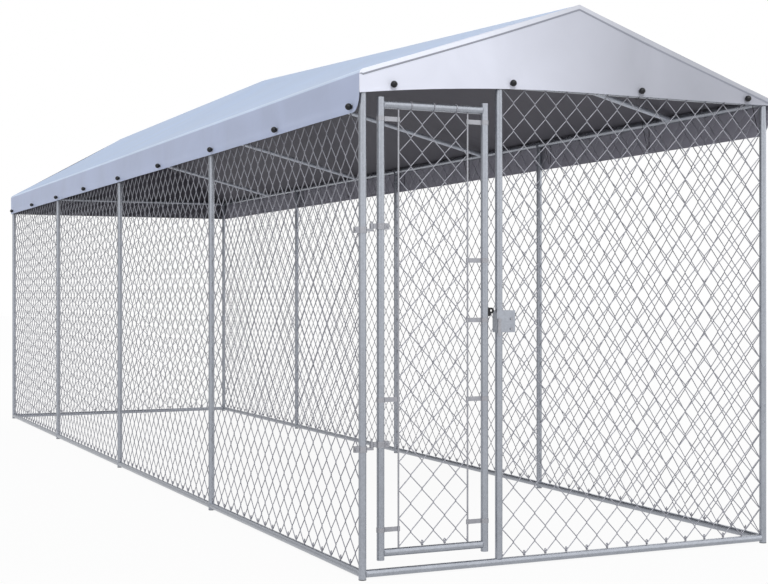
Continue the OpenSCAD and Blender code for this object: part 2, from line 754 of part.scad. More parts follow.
// The latch plate is folded round the latch post and open towards +X.
module latch_plate() {
    inner = joint_r;
    outer = joint_r + latch_t;
    color(galvanised) translate([latch_post_x, front_y, latch_z - latch_h / 2]) difference() {
        translate([-outer, -outer, 0]) cube([outer + latch_reach, 2 * outer, latch_h]);
        translate([-inner, -inner, -latch_h]) cube([2 * inner + latch_reach, 2 * inner, 3 * latch_h]);
        for (z = latch_bolt_z)
            translate([latch_bolt_x - latch_post_x, 0, z - latch_z + latch_h / 2]) rotate([90, 0, 0])
                cylinder(d = bolt_d + 2 * bolt_clear, h = 4 * outer, center = true);
        translate([pivot_x - latch_post_x, 0, pivot_z - latch_z + latch_h / 2]) rotate([90, 0, 0])
            cylinder(d = rivet_d + 2 * run_clear, h = 2 * outer);
    }
}

module latch_plate_bolts() {
    grip = joint_r + latch_t;
    color(zinc_dark) for (z = latch_bolt_z) translate([latch_bolt_x, front_y, z]) rotate([90, 0, 0]) {
        cylinder(d = bolt_d, h = 2 * grip + 2 * head_t, center = true);
        translate([0, 0, grip]) cylinder(d = head_d, h = head_t);
        translate([0, 0, -grip - head_t]) cylinder(d = head_d, h = head_t, $fn = 6);
    }
}

// The rivet that the latch lever hangs on.
module latch_rivet() {
    back_in = latch_post_x - pivot_x - rivet_d / 2 - 0.5;
    back_t = joint_r - fit_gap - sqrt(pow(tube_r, 2) - pow(back_in, 2));
    grip = latch_t + 2 * move_gap + lever_t;
    color(zinc_dark) translate([pivot_x, front_y - joint_r, pivot_z]) rotate([90, 0, 0]) {
        translate([0, 0, -back_t]) cylinder(d = rivet_d + 1, h = back_t);
        cylinder(d = rivet_d, h = grip + 2);
        translate([0, 0, grip]) cylinder(d = head_d, h = 2);
    }
}

// The latch lever hangs down at rest and swings up across the latch stile.
module latch_lever() {
    tip = lever_len - lever_w / 2;
    color(zinc_dark) translate([pivot_x, lever_y + lever_t, pivot_z]) rotate([90, 0, 0]) difference() {
        union() {
            cylinder(d = lever_w + 4, h = lever_t);
            translate([-lever_w / 2, -tip, 0]) cube([lever_w, tip, lever_t]);
            translate([0, -tip, 0]) cylinder(d = lever_w, h = lever_t);
        }
        cylinder(d = rivet_d + 2 * run_clear, h = 4 * lever_t, center = true);
    }
}

post(-half_w, front_y, [0, 90]);  // post_front_left
post(half_w, front_y, [180, 90]);  // post_front_right
post(-half_w, half_l, [0, -90]);  // post_rear_left
post(half_w, half_l, [180, -90]);  // post_rear_right
for (i = [1:bays - 1]) post(-half_w, post_y[i], [90, -90]);  // left_posts
for (i = [1:bays - 1]) post(half_w, post_y[i], [90, -90]);  // right_posts
latch_post();
post_caps();
post_feet();
color(galvanised) side_rails(-half_w, sill_z);  // left_bottom_rails
side_top_rails(-1);  // left_top_rails
color(galvanised) side_rails(half_w, sill_z);  // right_bottom_rails
side_top_rails(1);  // right_top_rails
front_bottom_rail();
front_top_rail();
rear_bottom_rail();
rear_top_rail();
for (i = [1:bays]) {
    wall_net(-1, i - 1);
    wall_net(1, i - 1);
}
rear_net();
front_net();
ridge_pole_front();
ridge_pole_rear();
ridge_joint();
gable_king_post(front_y);  // front_king_post
gable_king_post(half_l);  // rear_king_post
truss_king_posts();
roof_ties(-1);  // left_roof_ties
roof_ties(1);  // right_roof_ties
roof_canopy();
front_gable_panel();
gable_panel(half_l + eave_r + canopy_t / 2, valance_z, valance_z, []);  // rear_gable_panel
canopy_eyelets();
toggle_balls();
elastic_loops();
hinge_clamp(hinge_z[1]);  // upper_hinge_clamp
hinge_clamp(hinge_z[0]);  // lower_hinge_clamp
hinge_clamp_bolts();
latch_plate();
latch_plate_bolts();
latch_rivet();
latch_lever();
gate_stile(hinge_x, 0);  // gate_hinge_stile
gate_stile(latch_stile_x, 180);  // gate_latch_stile
gate_rail(gate_rail_hi);  // gate_top_rail
gate_rail(gate_rail_lo);  // gate_bottom_rail
gate_net();
gate_tension_bars();
gate_tension_straps();
gate_eye(hinge_z[1]);  // upper_gate_eye
gate_eye(hinge_z[0]);  // lower_gate_eye
gate_eye_bolts();
gate_lock_eye();
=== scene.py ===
"""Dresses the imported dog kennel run: woven nets, tarpaulin roof, toggles, finishes and stage."""

import json
import math

import bpy
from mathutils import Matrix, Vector


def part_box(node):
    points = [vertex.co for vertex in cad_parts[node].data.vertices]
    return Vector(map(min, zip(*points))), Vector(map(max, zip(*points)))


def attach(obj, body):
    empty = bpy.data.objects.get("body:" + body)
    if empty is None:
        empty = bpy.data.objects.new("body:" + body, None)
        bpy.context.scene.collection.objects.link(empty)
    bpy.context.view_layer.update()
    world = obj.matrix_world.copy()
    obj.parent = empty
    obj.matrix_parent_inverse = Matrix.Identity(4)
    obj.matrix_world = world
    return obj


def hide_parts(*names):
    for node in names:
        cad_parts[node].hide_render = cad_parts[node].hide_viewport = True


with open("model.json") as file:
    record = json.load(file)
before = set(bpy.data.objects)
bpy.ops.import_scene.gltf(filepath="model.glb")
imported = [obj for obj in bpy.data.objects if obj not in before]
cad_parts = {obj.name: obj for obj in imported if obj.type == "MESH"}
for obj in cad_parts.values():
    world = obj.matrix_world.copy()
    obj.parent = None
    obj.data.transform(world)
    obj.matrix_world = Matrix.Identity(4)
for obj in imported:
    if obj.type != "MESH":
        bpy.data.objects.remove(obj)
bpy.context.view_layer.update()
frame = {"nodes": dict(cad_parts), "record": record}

bl_info = {
    "name": "Dog kennel run dressing",
    "version": (1, 0, 0),
    "blender": (4, 2, 0),
    "location": "3D View > Sidebar > Kennel",
    "description": "Weaves the nets, hangs the roof sheet and finishes the tubes of a dog kennel run",
    "category": "Object",
}

X, Y, Z = 0, 1, 2


def near(length):
    """A length in metres, to the hundredth of a millimetre."""
    return round(length, 5)


def low(node, axis):
    """Lower end of a CAD node along an axis."""
    return near(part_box(node)[0][axis])


def high(node, axis):
    """Upper end of a CAD node along an axis."""
    return near(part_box(node)[1][axis])


def middle(node, axis):
    """Middle of a CAD node along an axis."""
    return near((low(node, axis) + high(node, axis)) / 2)


# Posts, rails and gate, in metres from the solids
BAYS = 4
HALF_W = middle("post_front_right", X)
HALF_L = middle("rear_net", Y)
BAY = 2 * HALF_L / BAYS
TUBE_R = near((high("front_top_rail", Z) - low("front_top_rail", Z)) / 2)
SILL_Z = middle("front_bottom_rail", Z)
RAIL_Z = middle("front_top_rail", Z)
GATE_SILL_Z = middle("gate_bottom_rail", Z)
GATE_RAIL_Z = middle("gate_top_rail", Z)
HINGE_X = middle("gate_hinge_stile", X)
LATCH_POST_X = middle("latch_post", X)
TENSION_BAR_D = 0.007

# Roof: it bends over the eaves and the ridge, and its front ridge end is lower than its rear one
SHEET_T = near(high("rear_gable_panel", Y) - low("rear_gable_panel", Y))
EAVE_R = near(high("roof_canopy", X) - HALF_W - SHEET_T)
RIDGE_REAR_Z = near(low("ridge_pole_rear", Z) + TUBE_R)
RIDGE_R = near(high("roof_canopy", Z) - RIDGE_REAR_Z - SHEET_T)
GABLE_STEP = high("rear_gable_panel", Z) - high("front_gable_panel", Z)
RIDGE_FRONT_Z = near(RIDGE_REAR_Z + GABLE_STEP * HALF_L / middle("front_gable_panel", Y))
SIDE_X = HALF_W + EAVE_R + SHEET_T
END_Y = HALF_L + EAVE_R + SHEET_T

# Hems: the front one dips towards the gate's hinges, and the valances' front corners are rounded
VALANCE_Z = low("roof_canopy", Z)
FRONT_HEM_Z = 1.918
HEM_DIP = near((FRONT_HEM_Z - low("front_gable_panel", Z)) * (HALF_W / (HALF_W + EAVE_R)) ** 2)
CORNER_R = 0.060

# Net wires: gap to the tubes, ends of a crossing, bends in it, hook round the rail, and twisted end
NET_GAP = 0.003
CROSSING = 0.9
BENDS = (0.1, 0.9)
HOOK_ANGLES = [math.radians(30 * i) for i in range(1, 9)]
TWIST_POINTS = 8
TWIST_R = 1.1
TWIST_TURN = 1.2
TWIST_RISE = 0.0025

# Points of half a section of the roof sheet, from the hem up to the ridge
HEM_SHARES = (0, 0.5, 1, 1.12)
HEM_POINTS = 3
HANG_POINTS = 9
BEND_POINTS = 7
SLOPE_POINTS = 13
CREST_POINTS = 4
SLOPE_START = HANG_POINTS + BEND_POINTS
CREST_START = SLOPE_START + SLOPE_POINTS

# Stations along the roof sheet, whose ends are folded down over the gables in a lip
CORNER_STEPS = 7
RUN_STEPS = 112
LIP_OUT = 0.0012
LIP_SHARES = (1.0, 0.7, 0.35)

# Cloth: its thickness, double hems and the reach of the valance's finish and of the painted highlight along
# the eave bend
CLOTH_T = 0.0009
HEM_T = 0.0008
VALANCE_UP = 0.004
HIGHLIGHT_REACH = 0.012
WELD = 0.00002
# The fifth finish slot is a painted highlight: a paler strip along the bend over the eaves.
# The fourth finish slot is a painted shadow: a darker band along the lips' lower edge, under the rake hems.
TOP, SIDE, FRONT_RAKE, HEM_SHADOW, EAVE_HIGHLIGHT, REAR_RAKE = range(6)

# Gable panels: gap to the roof sheet, rows from hem to top, and how far they stand off
PANEL_GAP = 0.0003
PANEL_ROWS = (0, 0.04, 0.08, 0.09, 0.2, 0.35, 0.5, 0.65, 0.8, 0.92, 1)
PANEL_HEM_T = 0.0004
PANEL_PUFF = 0.001

# Toggles sit between the wires of the solids' nets: counts of diamonds, and shares of one
WALL_DIAMONDS = 10
FRONT_DIAMONDS = 7
NET_SIDE = near(low("left_net_1", Y) + HALF_L)
AFTER_POST = 0.15
BEFORE_POST = 0.39
FROM_HINGE = 0.04
TOGGLE_UP = 0.022
TOGGLE_OUT = 0.0002
BALL_GAP = 0.0017
BORE_RIM = 0.0005
BORE_DEPTH = 0.003
BALL_RINGS = 14
BALL_SEGMENTS = 20

# Elastic: gap to the rail, radius of its end at the eyelet, its steps, and its neck along X
LOOP_GAP = 0.0049
LOOP_END_R = 0.0045
LOOP_END_STEPS = 8
LOOP_RAIL_STEPS = 16
NECK = (-0.006, 0.0, 0.0035)

# Roughness of the sheet and of its inner side
SHEET_ROUGH = 0.42
LINING_ROUGH = 0.6

# Stage: lamps with strength, aim and width in degrees, world, floor and the photo's camera
LAMPS = (("key", 1.4, (0.25, 0.8, -0.7), 25), ("fill", 0.6, (1.0, 0.6, -0.1), 60))
DAYLIGHT = 0.55
SHEEN_FROM = (0.82, -0.37, 0.43)
SHEEN = (0.45, 1.85)
FLOOR_SIZE = 120
FLOOR_WHITE = 0.93
SENSOR = 36
LENS = 65.48
LENS_SHIFT = 0.0018
CAMERA_AT = (-3.1046, -8.6881, 1.0954)
CAMERA_TURN = -24.574


def linear(r, g, b):
    """A screen colour from 0 to 255 as linear values."""
    return tuple(((c / 255 + 0.055) / 1.055) ** 2.4 if c > 10 else c / 255 / 12.92 for c in (r, g, b))


class KennelSizes(bpy.types.PropertyGroup):
    """Sizes of the woven and sewn pieces."""

    wire_d: bpy.props.FloatProperty(
        name="Wire", description="Thickness of the net's wire", default=0.0042, unit="LENGTH")
    diamond_w: bpy.props.FloatProperty(
        name="Diamond width", description="Width of one diamond of the net", default=0.099, unit="LENGTH")
    diamond_h: bpy.props.FloatProperty(
        name="Diamond height", description="Height of one diamond of the net", default=0.109, unit="LENGTH")
    hem: bpy.props.FloatProperty(
        name="Hem", description="Depth of the folded hem of the sheet", default=0.025, unit="LENGTH")
    sag: bpy.props.FloatProperty(
        name="Sag", description="Sag of the roof sheet between eave and ridge", default=0.008, unit="LENGTH")
    ripple: bpy.props.FloatProperty(
        name="Ripple", description="Swell of the valance between toggles", default=0.004, unit="LENGTH")
    ball_d: bpy.props.FloatProperty(
        name="Ball", description="Diameter of a toggle ball", default=0.027, unit="LENGTH")
    cord_d: bpy.props.FloatProperty(
        name="Elastic", description="Thickness of the toggles' elastic", default=0.003, unit="LENGTH")


class KennelColours(bpy.types.PropertyGroup):
    """Colours of the finishes."""

    tube: bpy.props.FloatVectorProperty(
        name="Tubes", description="Galvanised tubes", subtype="COLOR", default=linear(153, 157, 165))
    wire: bpy.props.FloatVectorProperty(
        name="Wire", description="Galvanised net wire", subtype="COLOR", default=linear(149, 150, 158))
    zinc: bpy.props.FloatVectorProperty(
        name="Fittings", description="Zinc plated clamps and bolts", subtype="COLOR",
        default=linear(152, 153, 159))
    black: bpy.props.FloatVectorProperty(
        name="Plastic", description="Black plastic caps, feet and balls", subtype="COLOR",
        default=linear(10, 11, 16))
    # The roof sheet is white and silver; the light blue of this colour is a painted reflection of the sky.
    roof: bpy.props.FloatVectorProperty(
        name="Roof", description="Upper side of the roof sheet", subtype="COLOR",
        default=linear(166, 185, 215))
    valance: bpy.props.FloatVectorProperty(
        name="Valance", description="Side valances of the roof sheet", subtype="COLOR",
        default=linear(178, 188, 214))
    gable: bpy.props.FloatVectorProperty(
        name="Gable", description="Gable panels", subtype="COLOR", default=linear(225, 228, 241))
    under: bpy.props.FloatVectorProperty(
        name="Underside", description="Underside of the sheet", subtype="COLOR", default=linear(95, 94, 101))
    hem: bpy.props.FloatVectorProperty(
        name="Hem", description="Hem along the front rakes", subtype="COLOR", default=linear(236, 239, 250))
    # A darker band under the rake hems' free edges: a painted shadow.
    seam: bpy.props.FloatVectorProperty(
        name="Seam", description="Edges of the rake hems", subtype="COLOR", default=linear(148, 151, 162))
    # A paler strip on the bend over the eaves: a painted highlight.
    fold: bpy.props.FloatVectorProperty(
        name="Eave highlight", description="Bend of the sheet over the eaves", subtype="COLOR",
        default=linear(200, 214, 236))


def colours():
    """The scene's colours."""
    return bpy.context.scene.kennel_colours


def sizes():
    """The scene's sizes."""
    return bpy.context.scene.kennel_sizes


def only(*pieces):
    """Selects these pieces and nothing else, with the first one active."""
    bpy.ops.object.select_all(action="DESELECT")
    for piece in pieces:
        piece.select_set(True)
    bpy.context.view_layer.objects.active = pieces[0]


def apply_modifiers(obj):
    """Applies every modifier of a piece in order."""
    only(obj)
    for modifier in list(obj.modifiers):
        bpy.ops.object.modifier_apply(modifier=modifier.name)


def set_in_place(obj, location, turn):
    """Moves a piece modelled at the origin to its place, and leaves the place in its mesh."""
    obj.location = location
    obj.rotation_euler = (0, 0, turn)
    only(obj)
    bpy.ops.object.transform_apply(location=True, rotation=True, scale=True)


def smooth(obj, degrees):
    """Smooth shading, with sharp edges kept."""
    only(obj)
    bpy.ops.object.shade_smooth_by_angle(angle=math.radians(degrees))


def curve_piece(name, paths, radius, cyclic=False):
    """A mesh tube along each path of points."""
    curve = bpy.data.curves.new(name, "CURVE")
    curve.dimensions = "3D"
    curve.bevel_depth = radius
    curve.bevel_resolution = 1
    curve.use_fill_caps = True
    for path in paths:
        spline = curve.splines.new("POLY")
        spline.points.add(len(path) - 1)
        spline.use_cyclic_u = cyclic
        for point, at in zip(spline.points, path):
            point.co = (*at, 1)
    obj = bpy.data.objects.new(name, curve)
    bpy.context.scene.collection.objects.link(obj)
    only(obj)
    bpy.ops.object.convert(target="MESH")
    return bpy.context.view_layer.objects.active


def paint(obj, *materials):
    """Gives a piece its finishes in slot order."""
    obj.data.materials.clear()
    for material in materials:
        obj.data.materials.append(material)


def nodes_of(material):
    """The node tree of a new material, with its shader."""
    material.use_nodes = True
    tree = material.node_tree
    return tree, tree.nodes["Principled BSDF"]


def add(tree, kind, **values):
    """A node with its settings, and with its unlinked inputs by their names after in_."""
    node = tree.nodes.new(kind)
    for key, value in values.items():
        if key.startswith("in_"):
            node.inputs[key[3:].replace("_", " ")].default_value = value
        else:
            setattr(node, key, value)
    return node


def object_place(tree, scale=(1, 1, 1)):
    """Object coordinates, stretched."""
    coords = add(tree, "ShaderNodeTexCoord")
    mapping = add(tree, "ShaderNodeMapping", in_Scale=scale)
    tree.links.new(coords.outputs["Object"], mapping.inputs["Vector"])
    return mapping.outputs["Vector"]


def shades(tree, source, dark, pale, start=0.3, end=0.7):
    """A ramp from one colour to another."""
    ramp = add(tree, "ShaderNodeValToRGB")
    ramp.color_ramp.elements[0].position = start
    ramp.color_ramp.elements[1].position = end
    ramp.color_ramp.elements[0].color = (*dark, 1)
    ramp.color_ramp.elements[1].color = (*pale, 1)
    tree.links.new(source, ramp.inputs["Fac"])
    return ramp.outputs["Color"]


def scaled(colour, factor):
    """A colour made darker or paler."""
    return tuple(min(1.0, c * factor) for c in colour)


def span(tree, source, least, most):
    """A value from 0 to 1 spread between two others."""
    node = add(tree, "ShaderNodeMapRange", in_To_Min=least, in_To_Max=most)
    tree.links.new(source, node.inputs["Value"])
    return node.outputs["Result"]


def bump(tree, height, strength, distance):
    """Relief from a height, before it is linked to a shader."""
    node = add(tree, "ShaderNodeBump", in_Strength=strength, in_Distance=distance)
    tree.links.new(height, node.inputs["Height"])
    return node


def galvanised(name, colour, metallic, rough):
    """Zinc coating with its faint crystals, streaks and dull patches."""
    material = bpy.data.materials.new(name)
    tree, shader = nodes_of(material)
    crystals = add(tree, "ShaderNodeTexVoronoi", in_Scale=140)
    tree.links.new(object_place(tree), crystals.inputs["Vector"])
    streaks = add(tree, "ShaderNodeTexNoise", in_Scale=9, in_Detail=5)
    tree.links.new(object_place(tree, (1, 1, 0.35)), streaks.inputs["Vector"])
    grain = add(tree, "ShaderNodeSeparateColor")
    tree.links.new(crystals.outputs["Color"], grain.inputs["Color"])
    crystal_share = 0.35
    mixed = add(tree, "ShaderNodeMath", operation="MULTIPLY_ADD")
    mixed.inputs[1].default_value = crystal_share
    tree.links.new(grain.outputs["Red"], mixed.inputs[0])
    tree.links.new(span(tree, streaks.outputs["Fac"], 0.0, 1 - crystal_share), mixed.inputs[2])
    tone = shades(tree, mixed.outputs["Value"], scaled(colour, 0.9), scaled(colour, 1.08), 0.25, 0.75)
    tree.links.new(tone, shader.inputs["Base Color"])
    dullness = span(tree, streaks.outputs["Fac"], rough - 0.1, rough + 0.14)
    tree.links.new(dullness, shader.inputs["Roughness"])
    shader.inputs["Metallic"].default_value = metallic
    shader.inputs["Specular IOR Level"].default_value = 0.3
    relief = bump(tree, streaks.outputs["Fac"], 0.15, 0.0006)
    tree.links.new(relief.outputs["Normal"], shader.inputs["Normal"])
    return material


def moulded(name, colour, rough):
    """Moulded plastic with a fine grain."""
    material = bpy.data.materials.new(name)
    tree, shader = nodes_of(material)
    grain = add(tree, "ShaderNodeTexNoise", in_Scale=420, in_Detail=3)
    tree.links.new(object_place(tree), grain.inputs["Vector"])
    tone = shades(tree, grain.outputs["Fac"], scaled(colour, 0.8), scaled(colour, 1.4))
    tree.links.new(tone, shader.inputs["Base Color"])
    dullness = span(tree, grain.outputs["Fac"], rough - 0.08, rough + 0.1)
    tree.links.new(dullness, shader.inputs["Roughness"])
    shader.inputs["Specular IOR Level"].default_value = 0.35
    relief = bump(tree, grain.outputs["Fac"], 0.2, 0.0003)
    tree.links.new(relief.outputs["Normal"], shader.inputs["Normal"])
    return material


def painted_shade_across(tree, tone):
    """Painted shade: the tone falls off from the left to the right of the front, standing in for the shading
    across the front panel and the front rake hems.
    """
    across = add(tree, "ShaderNodeSeparateXYZ")
    tree.links.new(object_place(tree), across.inputs["Vector"])
    share = add(tree, "ShaderNodeMapRange", interpolation_type="SMOOTHSTEP",
                in_From_Min=-0.75, in_From_Max=0.55, in_To_Min=1.0, in_To_Max=0.55)
    tree.links.new(across.outputs["X"], share.inputs["Value"])
    mix = add(tree, "ShaderNodeVectorMath", operation="SCALE")
    tree.links.new(tone, mix.inputs[0])
    tree.links.new(share.outputs["Result"], mix.inputs["Scale"])
    return mix.outputs["Vector"]


def tarpaulin(name, colour, across, rough=SHEET_ROUGH, with_painted_shade=False):
    """Coated woven sheet: crossing tapes, soft creases and faint mottling, with an optional painted shade
    across the front.
    """
    material = bpy.data.materials.new(name)
    tree, shader = nodes_of(material)
    place = object_place(tree)
    weft = add(tree, "ShaderNodeTexWave", bands_direction="Y", in_Scale=130)
    warp = add(tree, "ShaderNodeTexWave", bands_direction=across, in_Scale=130)
    creases = add(tree, "ShaderNodeTexNoise", in_Scale=2.2, in_Detail=4, in_Distortion=0.6)
    for node in (weft, warp, creases):
        tree.links.new(place, node.inputs["Vector"])
    weave = add(tree, "ShaderNodeMath", operation="MULTIPLY")
    tree.links.new(weft.outputs["Fac"], weave.inputs[0])
    tree.links.new(warp.outputs["Fac"], weave.inputs[1])
    tone = shades(tree, creases.outputs["Fac"], scaled(colour, 0.93), scaled(colour, 1.05))
    # An optional painted shade darkens the tone from left to right across the front.
    tree.links.new(painted_shade_across(tree, tone) if with_painted_shade else tone, shader.inputs["Base Color"])
    dullness = span(tree, creases.outputs["Fac"], rough - 0.08, rough + 0.1)
    tree.links.new(dullness, shader.inputs["Roughness"])
    folds = bump(tree, creases.outputs["Fac"], 0.25, 0.03)
    tapes = bump(tree, weave.outputs["Value"], 0.12, 0.0005)
    tree.links.new(folds.outputs["Normal"], tapes.inputs["Normal"])
    tree.links.new(tapes.outputs["Normal"], shader.inputs["Normal"])
    shader.inputs["Specular IOR Level"].default_value = 0.12
    return material


def finish(name, make, *values):
    """A named finish, made once."""
    name += "_finish"
    return bpy.data.materials.get(name) or make(name, *values)


def tube_finish():
    """Bright zinc of the posts and rails."""
    return finish("galvanised_tube", galvanised, tuple(colours().tube), 0.72, 0.26)


def wire_finish():
    """Duller zinc of the nets."""
    return finish("galvanised_wire", galvanised, tuple(colours().wire), 0.5, 0.48)


def brace_painted_light_finish():
    """Tube zinc made paler on the ties and posts under the roof: painted light standing in for light where
    the roof shades them.
    """
    return finish("brace_tube", galvanised, scaled(tuple(colours().tube), 1.7), 0.3, 0.4)


def zinc_finish():
    """Zinc plate of the clamps, straps and bolts."""
    return finish("zinc_fittings", galvanised, tuple(colours().zinc), 0.6, 0.32)


def black_finish():
    """Black plastic of the caps, feet and balls, and of the elastic."""
    return finish("black_plastic", moulded, tuple(colours().black), 0.4)


def underside():
    """Dark inner side of the sheet."""
    return finish("sheet_underside", tarpaulin, tuple(colours().under), "X", LINING_ROUGH)


class KENNEL_OT_finish_frame(bpy.types.Operator):
    """Gives the tubes, clamps, bolts and caps their finishes"""

    bl_idname = "kennel.finish_frame"
    bl_label = "Finish the frame"

    def execute(self, context):
        made = {"galvanised_tube": tube_finish(), "net_wire": wire_finish(), "zinc_fittings": zinc_finish(),
                "black_plastic": black_finish(), "elastic": black_finish()}
        for part in frame["record"]["subparts"]:
            if part["material_slot"] in made:
                paint(frame["nodes"][part["node"]], made[part["material_slot"]])
        # The ties and king posts get the paler zinc, painted light under the roof.
        for node in ("left_roof_ties", "right_roof_ties", "truss_king_posts"):
            paint(frame["nodes"][node], brace_painted_light_finish())
        return {"FINISHED"}


def woven_net(name, width, sill, rail):
    """A chain-link net along X from the origin, hooked round the upper rail and twisted at its foot."""
    size = sizes()
    r = size.wire_d / 2
    wrap = TUBE_R + r
    foot, head = sill + wrap, rail - wrap
    pairs = max(1, round(width / size.diamond_w))
    half = width / pairs / 2
    rows = round((head - foot) / (size.diamond_h / 2))
    rise = (head - foot) / rows
    paths = []
    for wire in (0, 1):
        path = []
        for row in range(rows):
            right = (row + wire) % 2
            way = 1 if right else -1
            start = (wire + right) * half + way * CROSSING * r
            end = (wire + 1 - right) * half - way * CROSSING * r
            z = foot + row * rise
            path.append((start, 0, z))
            for t in BENDS:
                path.append((start + (end - start) * t, -way * r, z + rise * t))
        top_x = (wire + (rows + wire) % 2) * half
        path.append((top_x, 0, head))
        hook = [(top_x, -wrap * math.sin(a), rail - wrap * math.cos(a)) for a in HOOK_ANGLES]
        foot_x = path[0][X]
        twist = []
        for i in range(TWIST_POINTS):
            a = i * TWIST_TURN + wire * math.pi
            twist.append((foot_x + TWIST_R * r * math.cos(a), TWIST_R * r * math.sin(a),
                          foot + TWIST_RISE * (TWIST_POINTS - i)))
        paths.append(twist + path + hook)
    net = curve_piece(name, paths, r)
    wires = net.modifiers.new("wires", "ARRAY")
    wires.use_relative_offset = False
    wires.use_constant_offset = True
    wires.constant_offset_displace = (2 * half, 0, 0)
    wires.count = pairs
    apply_modifiers(net)
    smooth(net, 60)
    paint(net, wire_finish())
    return net


def hang_net(name, node, body, location, turn, width, sill=SILL_Z, rail=RAIL_Z):
    """Weaves a net, sets it in place and puts it in the place of its solid."""
    net = woven_net(name, width, sill, rail)
    set_in_place(net, location, turn)
    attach(net, body)
    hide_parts(node)


class KENNEL_OT_wall_nets(bpy.types.Operator):
    """Weaves the nets of the walls"""

    bl_idname = "kennel.wall_nets"
    bl_label = "Weave the wall nets"

    def execute(self, context):
        edge = TUBE_R + NET_GAP
        for bay in range(BAYS):
            y = -HALF_L + bay * BAY + edge
            for word, x in (("left", -HALF_W), ("right", HALF_W)):
                hang_net(f"woven_net_{word}_{bay + 1}", f"{word}_net_{bay + 1}", "frame",
                         (x, y, 0), math.pi / 2, BAY - 2 * edge)
        hang_net("woven_net_rear", "rear_net", "frame",
                 (-HALF_W + edge, HALF_L, 0), 0, 2 * HALF_W - 2 * edge)
        hang_net("woven_net_front", "front_net", "frame",
                 (LATCH_POST_X + edge, -HALF_L, 0), 0, HALF_W - LATCH_POST_X - 2 * edge)
        return {"FINISHED"}


class KENNEL_OT_gate_net(bpy.types.Operator):
    """Weaves the gate's net between its tension bars"""

    bl_idname = "kennel.gate_net"
    bl_label = "Weave the gate's net"

    def execute(self, context):
        left = low("gate_tension_bars", X) + TENSION_BAR_D
        right = high("gate_tension_bars", X) - TENSION_BAR_D
        hang_net("woven_net_gate", "gate_net", "gate",
                 (left, -HALF_L, 0), 0, right - left, GATE_SILL_Z, GATE_RAIL_Z)
        return {"FINISHED"}


def ridge_z(y):
    """Height of the ridge pole's axis: it climbs to the middle, then is level."""
    return RIDGE_REAR_Z + (RIDGE_REAR_Z - RIDGE_FRONT_Z) * min(y, 0) / HALF_L


def eave_normal(ridge):
    """Angle of the outward normal of the roof's left slope, below a ridge of this height."""
    dx, dz = HALF_W, ridge - RAIL_Z
    return math.atan2(dz, dx) + math.acos((EAVE_R - RIDGE_R) / math.hypot(dx, dz))


def on_round(x, z, r, angle):
    """A point of a section on a round, with its outward normal."""
    nx, nz = math.cos(angle), math.sin(angle)
    return x + r * nx, z + r * nz, nx, nz


def half_section(ridge, out, hem):
    """Points of the sheet's section on the left, from the hem to the ridge, each with its normal."""
    slope_normal = eave_normal(ridge)
    eave_r, ridge_r = EAVE_R + out, RIDGE_R + out
    heights = [hem + sizes().hem * share for share in HEM_SHARES]
    above, steps = heights[-1], HANG_POINTS - len(HEM_SHARES) + 1
    heights += [above + (RAIL_Z - above) * i / steps for i in range(1, steps)]
    points = [(-HALF_W - eave_r, z, -1, 0) for z in heights]
    for i in range(BEND_POINTS):
        angle = math.pi + (slope_normal - math.pi) * i / (BEND_POINTS - 1)
        points.append(on_round(-HALF_W, RAIL_Z, eave_r, angle))
    x, z, nx, nz = points[-1]
    end_x, end_z = on_round(0, ridge, ridge_r, slope_normal)[:2]
    for i in range(1, SLOPE_POINTS + 1):
        t = i / (SLOPE_POINTS + 1)
        points.append((x + (end_x - x) * t, z + (end_z - z) * t, nx, nz))
    for i in range(CREST_POINTS + 1):
        angle = slope_normal + (math.pi / 2 - slope_normal) * i / CREST_POINTS
        points.append(on_round(0, ridge, ridge_r, angle))
    return points


def front_hem(x):
    """Height of the front gable panel's hem: it dips over the gate's hinges."""
    return FRONT_HEM_Z - (HEM_DIP if x < 0 else 0) * (x / HALF_W) ** 2


def valance_hem(y, right):
    """Height of a valance's hem: its front corner is rounded up to the front panel's hem."""
    back = min(1.0, max(0.0, (y + END_Y) / CORNER_R))
    rise = 1 - math.sqrt(1 - (1 - back) ** 2)
    return VALANCE_Z + (front_hem(HALF_W if right else -HALF_W) - VALANCE_Z) * rise


def side_toggles():
    """Places along the run of the toggles on each side."""
    gap = (BAY - 2 * NET_SIDE) / WALL_DIAMONDS
    places = [-HALF_L + NET_SIDE + AFTER_POST * gap]
    for bay in range(1, BAYS + 1):
        y = -HALF_L + bay * BAY - BEFORE_POST * gap
        places += [y - BAY / 2, y - NET_SIDE]
    return places


def front_toggles():
    """Places across the front: one over the gate, and three over the net beside it."""
    start = LATCH_POST_X + NET_SIDE
    gap = (HALF_W - NET_SIDE - start) / FRONT_DIAMONDS
    return [HINGE_X + FROM_HINGE, start + AFTER_POST * gap] + [start + (k + 0.5) * gap for k in (3, 6)]


def rear_toggles():
    """Places across the rear, in the middle of every third diamond."""
    gap = (2 * HALF_W - 2 * NET_SIDE) / WALL_DIAMONDS
    return [-HALF_W + NET_SIDE + (k + 0.5) * gap for k in range(0, WALL_DIAMONDS, 3)]


def swell(at, places):
    """How far the sheet stands off between two toggles: 0 at each, 1 halfway."""
    before = max([p for p in places if p <= at], default=None)
    after = min([p for p in places if p > at], default=None)
    if before is None or after is None:
        return 0.0
    return math.sin(math.pi * (at - before) / (after - before)) ** 2


